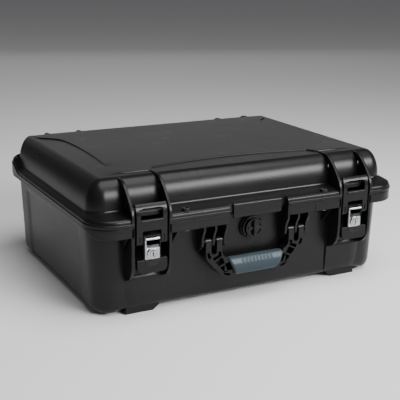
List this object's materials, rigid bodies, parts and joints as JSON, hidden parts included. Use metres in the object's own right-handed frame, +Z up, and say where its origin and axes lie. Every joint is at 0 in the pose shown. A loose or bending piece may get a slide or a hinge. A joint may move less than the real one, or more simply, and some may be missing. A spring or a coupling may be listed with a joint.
{
  "type": "hard equipment case",
  "caption": "Moulded hard case with a hinged lid, over-centre latches with key locks, a drop-down front handle with a rubber grip, a pressure valve and foam liners.",
  "frame": {"origin": "on the floor, under the middle of the closed case", "axes": "+X along the long side to the right as seen from the front, -Y is the front with the handle and latches, +Z up"},
  "size_m": [0.56, 0.4492, 0.2166],
  "materials": {
    "moulded_shell": "satin",
    "latch_plastic": "satin",
    "grip_rubber": "matte",
    "seal_rubber": "matte",
    "steel": "brushed",
    "foam": "open cell"
  },
  "bodies": {
    "base": {"base_shell": "moulded_shell", "floor_pad": "foam", "foam_block": "foam", "valve_body": "latch_plastic", "valve_seal": "seal_rubber", "valve_nut": "latch_plastic", "hinge_pin_left": "steel", "hinge_pin_right": "steel", "handle_pin_left": "steel", "handle_pin_right": "steel", "lever_pin_left": "steel", "lever_pin_right": "steel", "base_eyelet_left": "steel", "base_eyelet_right": "steel"},
    "lid": {"lid_shell": "moulded_shell", "lid_gasket": "seal_rubber", "lid_foam": "foam", "lid_eyelet_left": "steel", "lid_eyelet_right": "steel"},
    "handle": {"handle_frame": "latch_plastic", "handle_grip": "grip_rubber"},
    "lever_left": {"latch_lever_left": "latch_plastic", "claw_pin_left": "steel", "lock_barrel_left": "steel"},
    "lever_right": {"latch_lever_right": "latch_plastic", "claw_pin_right": "steel", "lock_barrel_right": "steel"},
    "claw_left": {"latch_claw_left": "latch_plastic"},
    "claw_right": {"latch_claw_right": "latch_plastic"},
    "plug_left": {"lock_plug_left": "steel"},
    "plug_right": {"lock_plug_right": "steel"},
    "knob": {"valve_knob": "latch_plastic"}
  },
  "joints": [
    {"name": "lid_open", "type": "hinge", "parent": "base", "child": "lid", "pos_m": [0, 0.2191, 0.15], "axis": [-1, 0, 0], "range_deg": [0, 100]},
    {"name": "handle_swing", "type": "hinge", "parent": "base", "child": "handle", "pos_m": [0, -0.2055, 0.1065], "axis": [-1, 0, 0], "range_deg": [0, 95]},
    {"name": "latch_left", "type": "hinge", "parent": "base", "child": "lever_left", "pos_m": [-0.1855, -0.208, 0.126], "axis": [-1, 0, 0], "range_deg": [0, 85]},
    {"name": "latch_right", "type": "hinge", "parent": "base", "child": "lever_right", "pos_m": [0.1855, -0.208, 0.126], "axis": [-1, 0, 0], "range_deg": [0, 85]},
    {"name": "claw_left", "type": "hinge", "parent": "lever_left", "child": "claw_left", "pos_m": [-0.1855, -0.2164, 0.1246], "axis": [1, 0, 0], "range_deg": [0, 107]},
    {"name": "claw_right", "type": "hinge", "parent": "lever_right", "child": "claw_right", "pos_m": [0.1855, -0.2164, 0.1246], "axis": [1, 0, 0], "range_deg": [0, 107]},
    {"name": "key_left", "type": "hinge", "parent": "lever_left", "child": "plug_left", "pos_m": [-0.1855, -0.22, 0.107], "axis": [0, 1, 0], "range_deg": [0, 90]},
    {"name": "key_right", "type": "hinge", "parent": "lever_right", "child": "plug_right", "pos_m": [0.1855, -0.22, 0.107], "axis": [0, 1, 0], "range_deg": [0, 90]},
    {"name": "valve_turn", "type": "hinge", "parent": "base", "child": "knob", "pos_m": [0, -0.2, 0.117], "axis": [0, -1, 0], "range_deg": [0, 180]}
  ],
  "couplings": [
    {"joint": "claw_left", "follows": "latch_left", "ratio": 1.25},
    {"joint": "claw_right", "follows": "latch_right", "ratio": 1.25}
  ]
}
